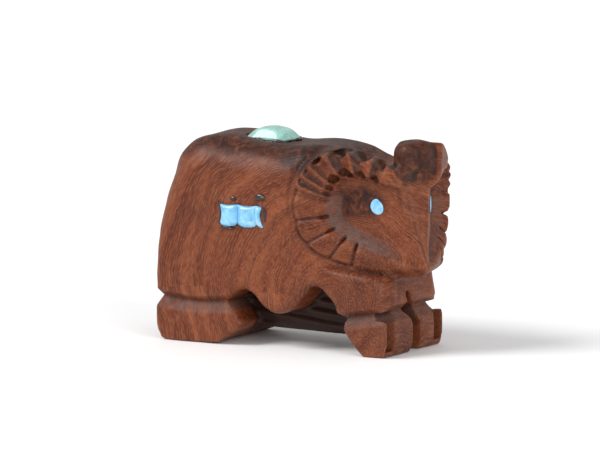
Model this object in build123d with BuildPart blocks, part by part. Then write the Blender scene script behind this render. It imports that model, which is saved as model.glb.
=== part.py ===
"""A small standing ram carved from one block of wood, with turquoise eyes and inlaid stones.

Millimetres. +X is the way the body points, +Y its left, +Z up. The origin is on the ground, at
the middle of the length and width. The head is turned to the ram's right, so the nose leaves the
middle plane: one cheek lies along the right flank and the other looks out to the front.
"""

import os
from math import atan2, cos, degrees, radians, sin, sqrt

from build123d import *

RIGHT, LEFT = -1, 1
SIDES = {"right": RIGHT, "left": LEFT}

# Trunk
length = 64.0  # rump to nose
trunk_width = 26.4
back_height = 44.0
back_round = 8.0  # along the back, from flank to flank
rump_corner = 6.0  # the upright corners of the rump
rump_round = 13.0  # the rump in side view
withers_round = 9.0  # the shoulder in side view
withers_x = 8.0  # where the level of the back ends
neck_x = 17.5
neck_height = 41.5
throat_x = 22.4
throat_height = 33.0
chest_height = 14.5  # ground to where the front of the chest starts to lean back
belly_height = 7.8  # ground to the lowest point of the belly
belly_x = -2.0
rear_arch_rise = 4.2  # the arch behind the belly, above its lowest point
front_arch_rise = 6.2
arch_reach = 3.2  # from the legs to the top of each arch
keel_width = 8.0  # wood left standing between the right and the left legs
keel_clearance = 3.0  # ground to the keel
keel_overlap = 4.0  # how far the keel runs into the legs at each end

# Legs
rear_leg_length = 19.0  # along X, at the ankle
rear_toe_rise = 4.5  # the front of the rear foot sweeps up from its sole by this
rear_toe_reach = 1.5  # ahead of the leg
rear_sole_length = 15.0
front_leg_length = 12.6
front_leg_lean = 5.6  # the back of the front leg comes this far forward at the sole
front_leg_flare = 3.6  # the back of the front leg reaches this far back at the armpit
nose_overhang = 6.6  # the nose, ahead of the front legs
leg_gap = 3.0
leg_gap_depth = 9.0  # from the front and from the rear
leg_gap_height = 14.0
ankle_height = 9.0  # ground to the middle of the ankle groove
ankle_groove_width = 3.2
groove_overrun = 1.0  # how far the ankle cuts run past the legs, under the belly
toe_notch_width = 4.2
toe_notch_height = 7.0
toe_notch_y = 9.4  # from the middle plane

# Head
nose_offset = 6.2  # the nose, to the right of the middle plane
jaw_height = 18.5
brow_height = 37.0
head_turn = 31.0  # degrees to the right
nose_flat = 0.5  # how far the forehead plane cuts back the edge of the nose
forehead_lean = 12.0  # degrees back from upright
left_cheek_turn = 74.0  # degrees from straight back
poll_height = 46.0
poll_radius = 7.0
poll_set_back = 9.0  # from the nose to the middle of the poll

# Horns, one disc on each cheek plane with the cheek hollowed out of it
horn_length = 29.6  # right horn, from the nose to the back of the curl
left_horn_length = 19.0
horn_height = 25.0
horn_middle_height = 30.8
horn_band = 6.6
horn_relief = 0.9  # the horn stands this far out from the cheek plane
horn_thickness = 7.0
cheek_depth = 2.6  # the hollow round the eye, at the back of the curl
rib_count = 22
rib_groove_width = 0.8
rib_groove_depth = 0.7

# Stones, each in a pocket on a bed of glue
glue_gap = 0.25
eye_radius = 1.6
eye_proud = 0.4
eye_seat = 1.4
eye_edge_round = 0.35
eye_set_back = 11.6  # from the nose, along the cheek
left_eye_set_back = 8.6
eye_height = 31.8
flank_stone_length = 11.2
flank_stone_height = 5.4
flank_stone_scallop = 0.55
flank_stone_proud = 0.9
flank_stone_seat = 1.3
flank_stone_x = -10.0
flank_stone_z = 28.5
flute_count = 3
flute_depth = 0.45
back_stone_length = 12.0
back_stone_width = 8.4
back_stone_corner = 2.6
back_stone_proud = 2.3
back_stone_seat = 1.2
back_stone_bevel = 1.5
back_stone_x = -10.0

# Places that follow from the sizes above
rump_x = -length / 2
nose_x = length / 2
half_width = trunk_width / 2
front_x = nose_x - nose_overhang
rear_leg_front = rump_x + rear_leg_length
front_leg_rear = front_x - front_leg_length
groove_spans = (
    (rump_x, rear_leg_length + groove_overrun),
    (front_leg_rear - groove_overrun, front_leg_length + groove_overrun),
)
armpit_x = front_leg_rear - front_leg_flare
rear_arch_height = belly_height + rear_arch_rise
front_arch_height = belly_height + front_arch_rise
right_cheek_turn = degrees(atan2(half_width - nose_offset, horn_length))
back_plane = Plane.XY.offset(back_height).shift_origin((back_stone_x, 0, back_height))
flute_width = flank_stone_length / flute_count
flute_radius = (flute_width**2 / 4 + flute_depth**2) / (2 * flute_depth)
ankle_groove_side = ankle_groove_width / sqrt(2)
toe_notch_side = toe_notch_width / sqrt(2)
facing = Vector(cos(radians(head_turn)), -sin(radians(head_turn)), 0)
nose = Vector(nose_x, -nose_offset, jaw_height)
poll = nose - facing * poll_set_back
forehead_normal = facing * cos(radians(forehead_lean)) + Vector(0, 0, sin(radians(forehead_lean)))
forehead = Plane(origin=nose - facing * nose_flat, z_dir=forehead_normal)
cheek_turns = {RIGHT: right_cheek_turn, LEFT: left_cheek_turn}
horn_lengths = {RIGHT: horn_length, LEFT: left_horn_length}
eye_set_backs = {RIGHT: eye_set_back, LEFT: left_eye_set_back}


def face_plane(side, turn):
    """Upright plane through the nose that looks outward; its X is side * distance behind it."""
    back = Vector(-cos(radians(turn)), side * sin(radians(turn)), 0)
    outward = Vector(sin(radians(turn)), side * cos(radians(turn)), 0)
    return Plane(origin=(nose_x, -nose_offset, 0), x_dir=back * side, z_dir=outward)


def cheek_plane(side):
    return face_plane(side, cheek_turns[side])


def cheek_end(side):
    """Where the cheek plane reaches the back of the horn, in plan."""
    return cheek_plane(side).from_local_coords((side * horn_lengths[side], 0, 0))


def cheek_floor(side):
    """The floor of the hollow round the eye, which deepens from the nose to the curl's back."""
    sink = degrees(atan2(cheek_depth, horn_lengths[side] - horn_band))
    return face_plane(side, cheek_turns[side] - sink)


def flank_plane(side):
    """The flank, seen from outside, with its middle at the inlaid stone."""
    place = (flank_stone_x, side * half_width, flank_stone_z)
    return Plane(origin=place, x_dir=(-side, 0, 0), z_dir=(0, side, 0))


def eye_plane(side):
    """The cheek floor, with its middle at the eye."""
    floor = cheek_floor(side)
    middle = floor.from_local_coords((side * eye_set_backs[side], eye_height, 0))
    return Plane(origin=middle, x_dir=floor.x_dir, z_dir=floor.z_dir)


def horn_half_axes(side, inset=0.0):
    return horn_lengths[side] / 2 - inset, horn_height / 2 - inset


def horn_middle(side):
    return side * horn_lengths[side] / 2, horn_middle_height


def back_stone_outline(margin=0.0):
    with BuildSketch() as outline:
        RectangleRounded(
            back_stone_length + 2 * margin,
            back_stone_width + 2 * margin,
            back_stone_corner + margin,
        )
    return outline.sketch


def stone_outline(margin=0.0):
    """The flank stone: a bar with scalloped long edges and hollow ends, grown by a margin."""
    end = flank_stone_length / 2 + margin
    top = flank_stone_height / 2 + margin
    flute = 2 * end / flute_count
    with BuildSketch() as outline:
        with BuildLine():
            for edge in (1, -1):
                for k in range(flute_count):
                    start = edge * (k * flute - end)
                    middle = (start + edge * flute / 2, edge * (top - flank_stone_scallop))
                    ThreePointArc((start, edge * top), middle, (start + edge * flute, edge * top))
                hollow = (edge * (end - flank_stone_scallop), 0)
                ThreePointArc((edge * end, edge * top), hollow, (edge * end, -edge * top))
        make_face()
    return outline.sketch


# Horns, part of the body: a round disc on each cheek plane with cuts that radiate from the cheek
horns = []
for side in (RIGHT, LEFT):
    with BuildPart() as horn:
        with BuildSketch(cheek_plane(side).offset(horn_relief)):
            with Locations(horn_middle(side)):
                Ellipse(*horn_half_axes(side))
        extrude(amount=-horn_thickness)
        half_long, half_high = horn_half_axes(side, horn_band / 2)
        middle_x, middle_z = horn_middle(side)
        with BuildSketch(cheek_plane(side).offset(horn_relief)):
            for k in range(rib_count):
                turn = 360 * (k + 0.5) / rib_count
                place = (half_long * cos(radians(turn)), half_high * sin(radians(turn)))
                with Locations((middle_x + place[0], middle_z + place[1])):
                    Rectangle(horn_band + 2 * rib_groove_width, rib_groove_width, rotation=turn)
        extrude(amount=-rib_groove_depth, mode=Mode.SUBTRACT)
    horns.append(horn.part)

# The wooden body, one solid from nose to rump
with BuildPart() as carved_body:
    # Trunk and legs down to the ground: the side outline, right across the block
    with BuildSketch(Plane.XZ):
        with BuildLine():
            outline = Polyline(
                (armpit_x, ankle_height + front_leg_flare),
                (front_leg_rear, ankle_height),
                (front_leg_rear + front_leg_lean, 0),
                (front_x, 0),
                (front_x, chest_height),
                (throat_x, throat_height),
                (neck_x, neck_height),
                (withers_x, back_height),
                (rump_x, back_height),
                (rump_x, 0),
                (rump_x + rear_sole_length, 0),
                (rear_leg_front + rear_toe_reach, rear_toe_rise),
                (rear_leg_front, ankle_height),
            )
            Spline(
                outline @ 1,
                (rear_leg_front + arch_reach, rear_arch_height),
                (belly_x, belly_height),
                (armpit_x - arch_reach, front_arch_height),
                outline @ 0,
            )
        make_face()
        highest = vertices().group_by(Axis.Y)[-1].sort_by(Axis.X)
        fillet(highest[0], rump_round)
        fillet(highest[-1], withers_round)
    extrude(amount=half_width, both=True)

    # The back is rounded over from flank to flank, and so are the upright corners of the rump
    with BuildSketch(Plane.YZ.offset(rump_x)):
        with Locations((0, back_height / 2)):
            Rectangle(trunk_width, back_height)
        fillet(vertices().group_by(Axis.Y)[-1], back_round)
    extrude(amount=length, mode=Mode.INTERSECT)
    with BuildSketch(Plane.XY):
        Rectangle(length, trunk_width)
        fillet(vertices().group_by(Axis.X)[0], rump_corner)
    extrude(amount=back_height, mode=Mode.INTERSECT)

    # Head: a wedge between the two cheek planes, cleared on both sides above the jaw
    right_end, left_end = cheek_end(RIGHT), cheek_end(LEFT)
    with BuildSketch(Plane.XY.offset(jaw_height)):
        with BuildLine():
            Polyline(
                (nose.X, nose.Y),
                (right_end.X, right_end.Y),
                (nose_x, -trunk_width),
                close=True,
            )
        make_face()
        with BuildLine():
            Polyline(
                (nose.X, nose.Y),
                (left_end.X, left_end.Y),
                (left_end.X, trunk_width),
                (nose_x, trunk_width),
                close=True,
            )
        make_face()
    extrude(amount=back_height, mode=Mode.SUBTRACT)
    with BuildSketch(Plane.XY.offset(jaw_height)):
        with BuildLine():
            Polyline(
                (nose.X, nose.Y),
                (right_end.X, right_end.Y),
                (belly_x, 0),
                (left_end.X - horn_thickness, half_width - horn_relief),
                (left_end.X, left_end.Y),
                close=True,
            )
        make_face()
    extrude(amount=brow_height - jaw_height)
    add(horns)

    # Poll: the round crown of the head between the horns
    with Locations((poll.X, poll.Y, poll_height - poll_radius)):
        Sphere(poll_radius, rotation=(0, 90, 0))

    # Forehead: everything ahead of a plane that leans back from the nose is cut away
    split(bisect_by=forehead, keep=Keep.BOTTOM)

    # Cheeks: hollows inside the curl of the horns, level with the plane at the nose
    for side in (RIGHT, LEFT):
        with BuildSketch(cheek_floor(side)):
            with Locations(horn_middle(side)):
                Ellipse(*horn_half_axes(side, horn_band))
        extrude(amount=horn_thickness, mode=Mode.SUBTRACT)

    # Gaps between the right and the left legs, in front and behind
    for x in (front_x, rump_x):
        with BuildSketch(Plane.YZ.offset(x)):
            SlotOverall(2 * leg_gap_height, leg_gap, rotation=90)
        extrude(amount=leg_gap_depth, both=True, mode=Mode.SUBTRACT)

    # Keel: the wood left under the middle of the belly, between the four legs
    with BuildSketch(Plane.XY.offset(keel_clearance)):
        with Locations(((rear_leg_front + front_leg_rear) / 2, 0)):
            Rectangle(front_leg_rear - rear_leg_front + 2 * keel_overlap, keel_width)
    extrude(amount=front_arch_height)

    # Ankle grooves: one V prism along each outer face of the legs
    for rear_x, groove_length in groove_spans:
        with BuildSketch(Plane.YZ.offset(rear_x)):
            for side in (RIGHT, LEFT):
                with Locations((side * half_width, ankle_height)):
                    Rectangle(ankle_groove_side, ankle_groove_side, rotation=45)
        extrude(amount=groove_length, mode=Mode.SUBTRACT)
    with BuildSketch(Plane.XZ.offset(-half_width)):
        for x in (rump_x, front_x):
            with Locations((x, ankle_height)):
                Rectangle(ankle_groove_side, ankle_groove_side, rotation=45)
    extrude(amount=trunk_width, mode=Mode.SUBTRACT)

    # Toes of the front feet: a notch in the front of each
    with BuildSketch(Plane.XY):
        for side in (RIGHT, LEFT):
            with Locations((front_x, side * toe_notch_y)):
                Rectangle(toe_notch_side, toe_notch_side, rotation=45)
    extrude(amount=toe_notch_height, mode=Mode.SUBTRACT)

    # Pockets for the stones
    for side in (RIGHT, LEFT):
        with BuildSketch(eye_plane(side)):
            Circle(eye_radius + glue_gap)
        extrude(amount=-eye_seat - glue_gap, mode=Mode.SUBTRACT)
        with BuildSketch(flank_plane(side)):
            add(stone_outline(glue_gap))
        extrude(amount=-flank_stone_seat - glue_gap, mode=Mode.SUBTRACT)
    with BuildSketch(back_plane):
        add(back_stone_outline(glue_gap))
    extrude(amount=-back_stone_seat - glue_gap, mode=Mode.SUBTRACT)


def write(part, name):
    part.label = name
    export_step(part, f"parts/{name}.step")


os.makedirs("parts", exist_ok=True)
write(carved_body.part, "carved_body")

# Eyes: turquoise discs with a rounded edge, each on a thin bed of glue in its cheek
for name, side in SIDES.items():
    with BuildPart() as eye:
        with BuildSketch(eye_plane(side).offset(-eye_seat)):
            Circle(eye_radius)
        extrude(amount=eye_seat + eye_proud)
        outer_face = eye.faces().sort_by(Axis((0, 0, 0), eye_plane(side).z_dir))[-1]
        fillet(outer_face.edges(), eye_edge_round)
    write(eye.part, f"{name}_eye")

    with BuildPart() as eye_glue:
        with BuildSketch(eye_plane(side)):
            Circle(eye_radius + glue_gap)
        extrude(amount=-eye_seat - glue_gap)
        with BuildSketch(eye_plane(side)):
            Circle(eye_radius)
        extrude(amount=-eye_seat, mode=Mode.SUBTRACT)
    write(eye_glue.part, f"{name}_eye_glue")

# Flank stones: bars of turquoise with upright flutes, each glued in its pocket
for name, side in SIDES.items():
    plane = flank_plane(side)
    with BuildPart() as flank_stone:
        with BuildSketch(plane.offset(-flank_stone_seat)):
            add(stone_outline())
        extrude(amount=flank_stone_seat + flank_stone_proud)
        with BuildSketch(Plane(plane.origin, x_dir=plane.x_dir, z_dir=-plane.y_dir)):
            for k in range(flute_count):
                along = (k + 0.5) * flute_width - flank_stone_length / 2
                out = flank_stone_proud - flute_depth + flute_radius
                with Locations((along, out)):
                    Circle(flute_radius)
        extrude(amount=flank_stone_height, both=True, mode=Mode.SUBTRACT)
    write(flank_stone.part, f"{name}_flank_stone")

    with BuildPart() as flank_glue:
        with BuildSketch(plane):
            add(stone_outline(glue_gap))
        extrude(amount=-flank_stone_seat - glue_gap)
        with BuildSketch(plane):
            add(stone_outline())
        extrude(amount=-flank_stone_seat, mode=Mode.SUBTRACT)
    write(flank_glue.part, f"{name}_flank_glue")

# Back stone: a low cushion of green turquoise, glued into a seat on the back
with BuildPart() as back_stone:
    with BuildSketch(back_plane.offset(-back_stone_seat)):
        add(back_stone_outline())
    extrude(amount=back_stone_seat + back_stone_proud)
    chamfer(back_stone.faces().sort_by(Axis.Z)[-1].edges(), back_stone_bevel)
write(back_stone.part, "back_stone")

with BuildPart() as back_glue:
    with BuildSketch(back_plane):
        add(back_stone_outline(glue_gap))
    extrude(amount=-back_stone_seat - glue_gap)
    with BuildSketch(back_plane):
        add(back_stone_outline())
    extrude(amount=-back_stone_seat, mode=Mode.SUBTRACT)
write(back_glue.part, "back_stone_glue")
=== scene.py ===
"""A small standing ram carved from one block of figured wood, with turquoise eyes and inlays.

The CAD model is the frame: +X is the way the body points, +Y its left, +Z up, and the ground is
at 0. Shapes are worked out in millimetres and made in metres.
"""

from math import cos, pi, radians, sin

import bpy
import numpy as np
import openvdb
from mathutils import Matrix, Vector


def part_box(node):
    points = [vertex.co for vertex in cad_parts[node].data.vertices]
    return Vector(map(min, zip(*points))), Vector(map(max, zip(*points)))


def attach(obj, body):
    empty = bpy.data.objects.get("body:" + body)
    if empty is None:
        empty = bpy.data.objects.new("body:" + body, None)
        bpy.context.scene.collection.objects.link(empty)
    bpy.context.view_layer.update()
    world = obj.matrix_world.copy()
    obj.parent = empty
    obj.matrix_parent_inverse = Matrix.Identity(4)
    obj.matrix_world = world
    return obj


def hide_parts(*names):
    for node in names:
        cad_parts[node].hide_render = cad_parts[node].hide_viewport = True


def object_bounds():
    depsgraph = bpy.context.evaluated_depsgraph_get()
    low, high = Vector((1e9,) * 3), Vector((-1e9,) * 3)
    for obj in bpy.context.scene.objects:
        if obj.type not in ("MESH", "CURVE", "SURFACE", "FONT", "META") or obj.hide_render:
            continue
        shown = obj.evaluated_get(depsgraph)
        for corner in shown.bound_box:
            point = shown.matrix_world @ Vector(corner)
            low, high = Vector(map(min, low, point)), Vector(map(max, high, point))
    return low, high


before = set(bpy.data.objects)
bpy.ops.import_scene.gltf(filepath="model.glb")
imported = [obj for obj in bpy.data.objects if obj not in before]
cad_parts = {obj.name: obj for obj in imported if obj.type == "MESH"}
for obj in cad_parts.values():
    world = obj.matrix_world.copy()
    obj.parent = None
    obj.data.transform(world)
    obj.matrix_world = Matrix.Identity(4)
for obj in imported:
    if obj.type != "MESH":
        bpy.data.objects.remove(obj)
cad_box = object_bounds()

# ------------------------------------------------------------------------------ Carved body
# One block of figured root wood, sawn to the side outline of a ram, rounded over, and cut with
# knife and gouge: four legs with grooved ankles, split front toes, hollows under the belly, and
# a head turned to the right whose horns curl round hollow cheeks. Sanded smooth and waxed.
MM = 0.001
grid_step = 0.3
grid_margin = 1.5
most_triangles = 190_000

body_low, body_high = (np.array(corner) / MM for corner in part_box("carved_body"))
rump_x, sole_z = body_low[0], body_low[2]
half_width = body_high[1]
x, y, z = (
    np.arange(low - grid_margin, high + grid_margin, grid_step)
    for low, high in zip(body_low, body_high)
)
grid_corner = np.array([x[0], y[0], z[0]])
x, y, z = x[:, None, None], y[None, :, None], z[None, None, :]


def curve_through(points, corners=()):
    """A closed curve through the points, which turns sharply only at the numbered corners."""
    points = np.array(points, float)
    count = len(points)
    t = (np.arange(8) / 8)[:, None]
    stretches = []
    for k in range(count):
        before, start, end, after = (points[(k + step) % count] for step in (-1, 0, 1, 2))
        leaving = end - start if k in corners else (end - before) / 2
        arriving = end - start if (k + 1) % count in corners else (after - start) / 2
        stretches.append(
            (2 * t**3 - 3 * t**2 + 1) * start
            + (t**3 - 2 * t**2 + t) * leaving
            + (3 * t**2 - 2 * t**3) * end
            + (t**3 - t**2) * arriving
        )
    return np.concatenate(stretches)


def outline_distance(curve, u, v):
    """Distance from a closed outline to the points (u, v), negative inside it."""
    u, v = np.broadcast_arrays(u, v)
    nearest = np.full(u.shape, np.inf)
    inside = np.zeros(u.shape, bool)
    for (u0, v0), (u1, v1) in zip(curve, np.roll(curve, -1, axis=0)):
        run, rise = u1 - u0, v1 - v0
        t = np.clip(((u - u0) * run + (v - v0) * rise) / (run**2 + rise**2), 0, 1)
        nearest = np.minimum(nearest, (u - u0 - t * run) ** 2 + (v - v0 - t * rise) ** 2)
        if rise:
            inside ^= ((v0 <= v) != (v1 <= v)) & (u < u0 + (v - v0) * run / rise)
    return np.where(inside, -1, 1) * np.sqrt(nearest)


def meet(a, b, radius):
    """What lies inside both a and b, with the edge where they meet rounded to a radius."""
    corner = np.hypot(np.maximum(a + radius, 0), np.maximum(b + radius, 0))
    return np.minimum(np.maximum(a, b), -radius) + corner


def join(a, b, radius):
    """What lies inside a or b, with a fillet where they meet."""
    return -meet(-a, -b, radius)


def cut(a, b, radius):
    """What is left of a when b is cut away."""
    return meet(a, -b, radius)


def ease(value, start, end):
    """0 before start, 1 after end, and a smooth change between them."""
    t = np.clip((value - start) / (end - start), 0, 1)
    return t * t * (3 - 2 * t)


# Trunk and legs: the side outline, right across the block, with its long edges rounded over
trunk_side = curve_through(
    [
        (-32.0, 4.0), (-31.9, 10), (-31.95, 16.5), (-31.5, 25), (-30.2, 34), (-28.2, 40.2),
        (-24.4, 43.6), (-18, 44.7), (-5.4, 43.4), (4, 43.8), (10, 43.0), (14, 41.0), (18, 39.5),
        (24, 39.6), (25.0, 30), (23.8, 20), (24.9, 11), (25.3, 3.0), (24.4, 0.1), (19.4, 0.0),
        (16.7, 2.6), (14.4, 5.6), (13.3, 8.4), (11.4, 11.6), (9.2, 13.7), (6.6, 14.0), (4.5, 11.6),
        (1.5, 8.6), (-2.0, 7.7), (-4.8, 8.8), (-7.5, 11.3), (-10, 12.3), (-12.2, 11.2),
        (-13.0, 9.3), (-12.0, 7.2), (-10.6, 5.0), (-12.2, 3.2), (-15, 1.4), (-18, 0.2),
        (-29.3, 0.0), (-31.2, 1.2),
    ],
    corners=(13, 18, 19, 35),
)
edge_round = np.interp(z, (0, 6, 14, 24, 36), (0.8, 1.2, 1.7, 3.0, 7.2))
edge_round = edge_round * (1 - 0.45 * ease(x, 8, 22))
chest_round = 3.6
edge_round = edge_round + chest_round * ease(z, 9.3, 11.0) * (1 - ease(z, 24, 32)) * ease(x, 10, 20)
swell = 0.45 * ((z - 24) / 20) ** 2 + 0.3 * ((x + 4) / 26) ** 2
side_distance = outline_distance(trunk_side, x[:, :, 0], z[0]).reshape(x.size, 1, z.size)
body = meet(side_distance, np.abs(y) - half_width + swell, edge_round)

# Keel: the wood left standing under the middle of the belly, between the four legs, coloured dark later as
# painted shade
keel_half = 4.0 + 0.25 * np.sin(2.6 * z + 0.25 * x)
keel = meet(np.abs(y) - keel_half, 3.4 - 0.02 * (x + 10) - z, 0.8)
keel = meet(keel, np.maximum(np.abs(x - 0.5) - 15, z - 15), 0.5)
body = join(body, keel, 1.0)

# The cuts between the right and the left legs; the front one wanders to the left as it falls
front_cut_y = np.interp(z, (0, 6, 9, 13), (1.2, 1.1, -0.9, -1.8))
front_cut_half = np.interp(z, (0, 6, 9, 13), (1.8, 1.6, 1.15, 1.0))
front_cut = meet(np.abs(y - front_cut_y) - front_cut_half, np.maximum(16.5 - x, z - 13.2), 0.8)
rear_cut = meet(np.abs(y) - 1.5, np.maximum(x + 23.0, z - 14.0), 0.8)
body = cut(cut(body, front_cut, 0.7), rear_cut, 0.7)

# Head: a wedge between two upright cheek planes that meet at the nose. Every plane here is told
# by how far a point is behind the nose along it, and how far it stands out from it.
body_length = 64.0
nose_x, nose_y = rump_x + body_length, -6.2
jaw_z = 18.6
head_turn = radians(31)
cheek_turn = {"right": -radians(13.3), "left": radians(74)}
horn_reach = {"right": 29.8, "left": 19.2}
sides = {"right": -1, "left": 1}


def behind(turn):
    return (nose_x - x) * cos(turn) + (y - nose_y) * sin(turn)


def out_from(turn, side):
    return ((x - nose_x) * sin(abs(turn)) + side * (y - nose_y) * cos(turn))


face_back = (nose_x - x) * cos(head_turn) + (y - nose_y) * sin(head_turn)
face_across = (x - nose_x) * sin(head_turn) + (y - nose_y) * cos(head_turn)
forehead_lean = radians(12)
forehead = (0.5 - face_back) * cos(forehead_lean) + (z - jaw_z) * sin(forehead_lean)

out_right = out_from(cheek_turn["right"], -1)
out_left = out_from(cheek_turn["left"], 1)
back_right, back_left = behind(cheek_turn["right"]), behind(cheek_turn["left"])

# The neck is cleared in front of and above the right horn, so that its cheek lies open
clearing = curve_through(
    [(-6, 17.2), (10, 17.2), (20, 18.3), (25.5, 21.2), (29, 25.5), (30.6, 30), (30.8, 34),
     (29.6, 38.5), (26.5, 42), (22, 44.5), (20, 60), (-6, 60)],
    corners=(0, 1, 9, 10, 11),
)
back_axis = np.arange(-8, 45, 0.2)


def plate_distance(curve, back):
    """Distance from an outline drawn on a cheek plane, carried straight through the head."""
    table = outline_distance(curve, back_axis[:, None], z[0, 0][None, :])
    place = np.clip((back[:, :, 0] - back_axis[0]) / 0.2, 0, len(back_axis) - 1.001)
    step = place.astype(int)
    part = (place - step)[:, :, None]
    return table[step] * (1 - part) + table[step + 1] * part


cleared = np.maximum(plate_distance(clearing, back_right), -out_right)
body = cut(body, cleared, 1.6)

core = meet(out_right, out_left, 0.5)
core = meet(core, 16.9 - z, 0.6)
core = meet(core, 0.67 * out_right + 0.74 * (jaw_z - z), 0.5)
core = meet(core, 0.67 * out_left + 0.74 * (jaw_z - z), 0.5)
head = meet(core, np.maximum(z - 39.0, np.maximum(back_right - 26.0, back_left - 15.0)), 1.5)

# Horns: a round plate on each cheek. Its band is cut across by grooves that run out from the
# cheek: deep along the top, close and shallow at the upper back, and fine lines between soft
# pillows behind and below. The left horn has none along its top, where the poll stands.
horn_outline = {
    "right": [
        (0.4, 19.0), (0.5, 20.7), (3.6, 28.0), (6.4, 35.6), (10.1, 39.9), (14.5, 42.3),
        (19.5, 43.3), (23.9, 42.4), (27.2, 39.6), (29.5, 35.6), (30.1, 30.5), (28.6, 25.2),
        (25.2, 21.7), (20.4, 19.7), (14, 18.3), (7, 18.1),
    ],
    "left": [
        (0.3, 19.0), (0.4, 20.7), (2.4, 28.0), (3.6, 36.0), (3.4, 42.5), (6.0, 45.0),
        (10.4, 44.7), (13.6, 42.6), (16.4, 39.2), (18.0, 35.2), (18.5, 30.5), (17.6, 25.2),
        (15.4, 21.7), (13.0, 19.7), (9, 18.3), (4.5, 18.1),
    ],
}
cheek_outline = [
    (-4.0, 20.4), (-3.0, 29.0), (1.5, 34.8), (9.0, 36.3), (15.6, 37.9), (20.2, 37.6), (22.0, 34.4),
    (22.8, 30.6), (21.8, 27.4), (17.8, 24.4), (12.6, 22.4), (7.2, 20.6), (1.5, 19.6),
]
rib_angles = (-78, -54, -30, -9, 15, 24, 33, 43, 65, 86, 110)  # degrees up from straight back
horn_middle = (14.6, 30.6)  # behind the nose, and above the ground
horn_thickness = 7.0
hollow_depth = 2.8  # at the back of the curl
hollow_start = {"right": 5.5, "left": -1.5}  # behind the nose
rim_line_depth = {"right": 0.35, "left": 0.0}  # the groove just outside the upper ribs
edge_line_depth = 0.6  # the line round the back of the lower ribs

# How much shorter the left horn is, and its cheek, than the right
rib_share = {"right": 1.0, "left": horn_reach["left"] / horn_reach["right"]}
cheek_share = {"right": 1.0, "left": 0.73}

# How far in from its face a horn is cut, how deep its V grooves are for their half width, and the
# angles between which the grooves fade out
cut_reach = {"right": (-6.5, -4.5), "left": (-3.6, -2.6)}
rib_depth = {"right": 0.85, "left": 0.45}
last_rib = {"right": (122, 132), "left": (50, 60)}
lip_dust_share = {"right": 1.0, "left": 0.5}

horn_face = np.zeros_like(body)
rib_cuts = np.zeros_like(body)
horn_line = np.zeros_like(body)
lip_dust = np.zeros_like(body)
shaded = np.zeros_like(body)
hollows = np.full_like(body, 99.0)
for name, side in sides.items():
    turn, share = cheek_turn[name], rib_share[name]
    back, out = behind(turn), out_from(turn, side)
    outer = plate_distance(curve_through(horn_outline[name], corners=(0, 1)), back)
    relief = 0.35 + 0.5 * ease(z, 24, 34)
    horn_face = np.maximum(horn_face, ease(-outer, -0.2, 0.3) * ease(out, -3.5, -2.0))
    plate = meet(outer, out - relief, 0.5 + 0.6 * (1 - ease(z, 34, 38)))
    head = join(head, np.maximum(plate, -horn_thickness - out), 0.4)

    # The hollow round the eye deepens from nothing at the nose to the back of the curl
    inner_curve = curve_through([(s * cheek_share[name], height) for s, height in cheek_outline])
    inner = plate_distance(inner_curve, back)
    start = hollow_start[name]
    depth = hollow_depth * np.clip((back - start) / (21.0 * share - start), 0, 1)
    wall = 0.5 + 0.6 * (1 - ease(z, 32, 36))
    sloped = (inner - wall * (out + depth) + (wall - 0.2) * depth) / np.hypot(1, wall)
    hollow = meet(sloped, -out - depth, 0.3)
    hollows = np.minimum(hollows, hollow)

    # Ribs: each groove is an even V, with painted shade on its rear or lower wall
    u, v = back / share - horn_middle[0], z - horn_middle[1]
    angle = np.degrees(np.arctan2(v, u))
    ring = np.hypot(u, v)
    gaps = np.stack([np.abs(angle - rib) for rib in rib_angles])
    offset = ring * np.sin(np.radians(np.minimum(gaps.min(axis=0), 90)))
    half_turn = np.radians(11.0 - 6.3 * ease(angle, 10, 14) * (1 - ease(angle, 40, 48)))
    half_pitch = np.clip(ring * np.sin(half_turn), 0.5, 2.5)
    high = ease(angle, 8, 15)  # 1 on the deep upper ribs, 0 on the pillows
    zigzag = rib_depth[name] * half_pitch * np.clip(1 - offset / half_pitch, 0, 1)
    pillow = 0.55 * np.clip(1 - offset / 0.5, 0, 1) + 0.5 * np.clip(1 - offset / half_pitch, 0, 1) ** 2
    past_rim = ease(outer, -0.5, 0.2)
    on_band = ease(inner + 0.7, 0, 1.0) * ease(out, *cut_reach[name]) * (1 - past_rim)
    in_curl = ease(angle, -92, -84) * (1 - ease(angle, *last_rib[name]))
    # The rear or lower wall of each deep groove, to be painted as shade
    nearest_rib = np.array(rib_angles)[gaps.argmin(axis=0)]
    dark_wall = (nearest_rib > angle) * ease(offset, 0, 0.25) * (1 - ease(offset / half_pitch, 0.75, 1.0))
    shaded = np.maximum(shaded, on_band * in_curl * high * dark_wall * ease(out, -3.0, -1.5))
    rib_cuts += on_band * in_curl * (high * zigzag + (1 - high) * pillow)
    edge_line = np.clip(1 - np.abs(outer) / 0.6, 0, 1) * ease(back / share, 14, 18)
    edge_line = edge_line * (1 - ease(z, 33, 36))
    behind_ribs = np.clip(1 - np.abs(outer - 1.3) / 0.9, 0, 1) * ease(z, 33.5, 38)
    horn_line += rim_line_depth[name] * behind_ribs * ease(out, *cut_reach[name])
    horn_line += edge_line_depth * edge_line * ease(out, -2.5, -1.0)
    lip = ease(inner, -3.0, -2.4) * (1 - ease(inner, 0.0, 0.3)) * ease(back / share, 5, 13)
    lip = lip * (1 - ease(z, 31, 35))
    lip_dust = np.maximum(lip_dust, lip_dust_share[name] * lip * ease(out, -4.0, -2.5))

head = meet(head, forehead, 0.5)

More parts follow.
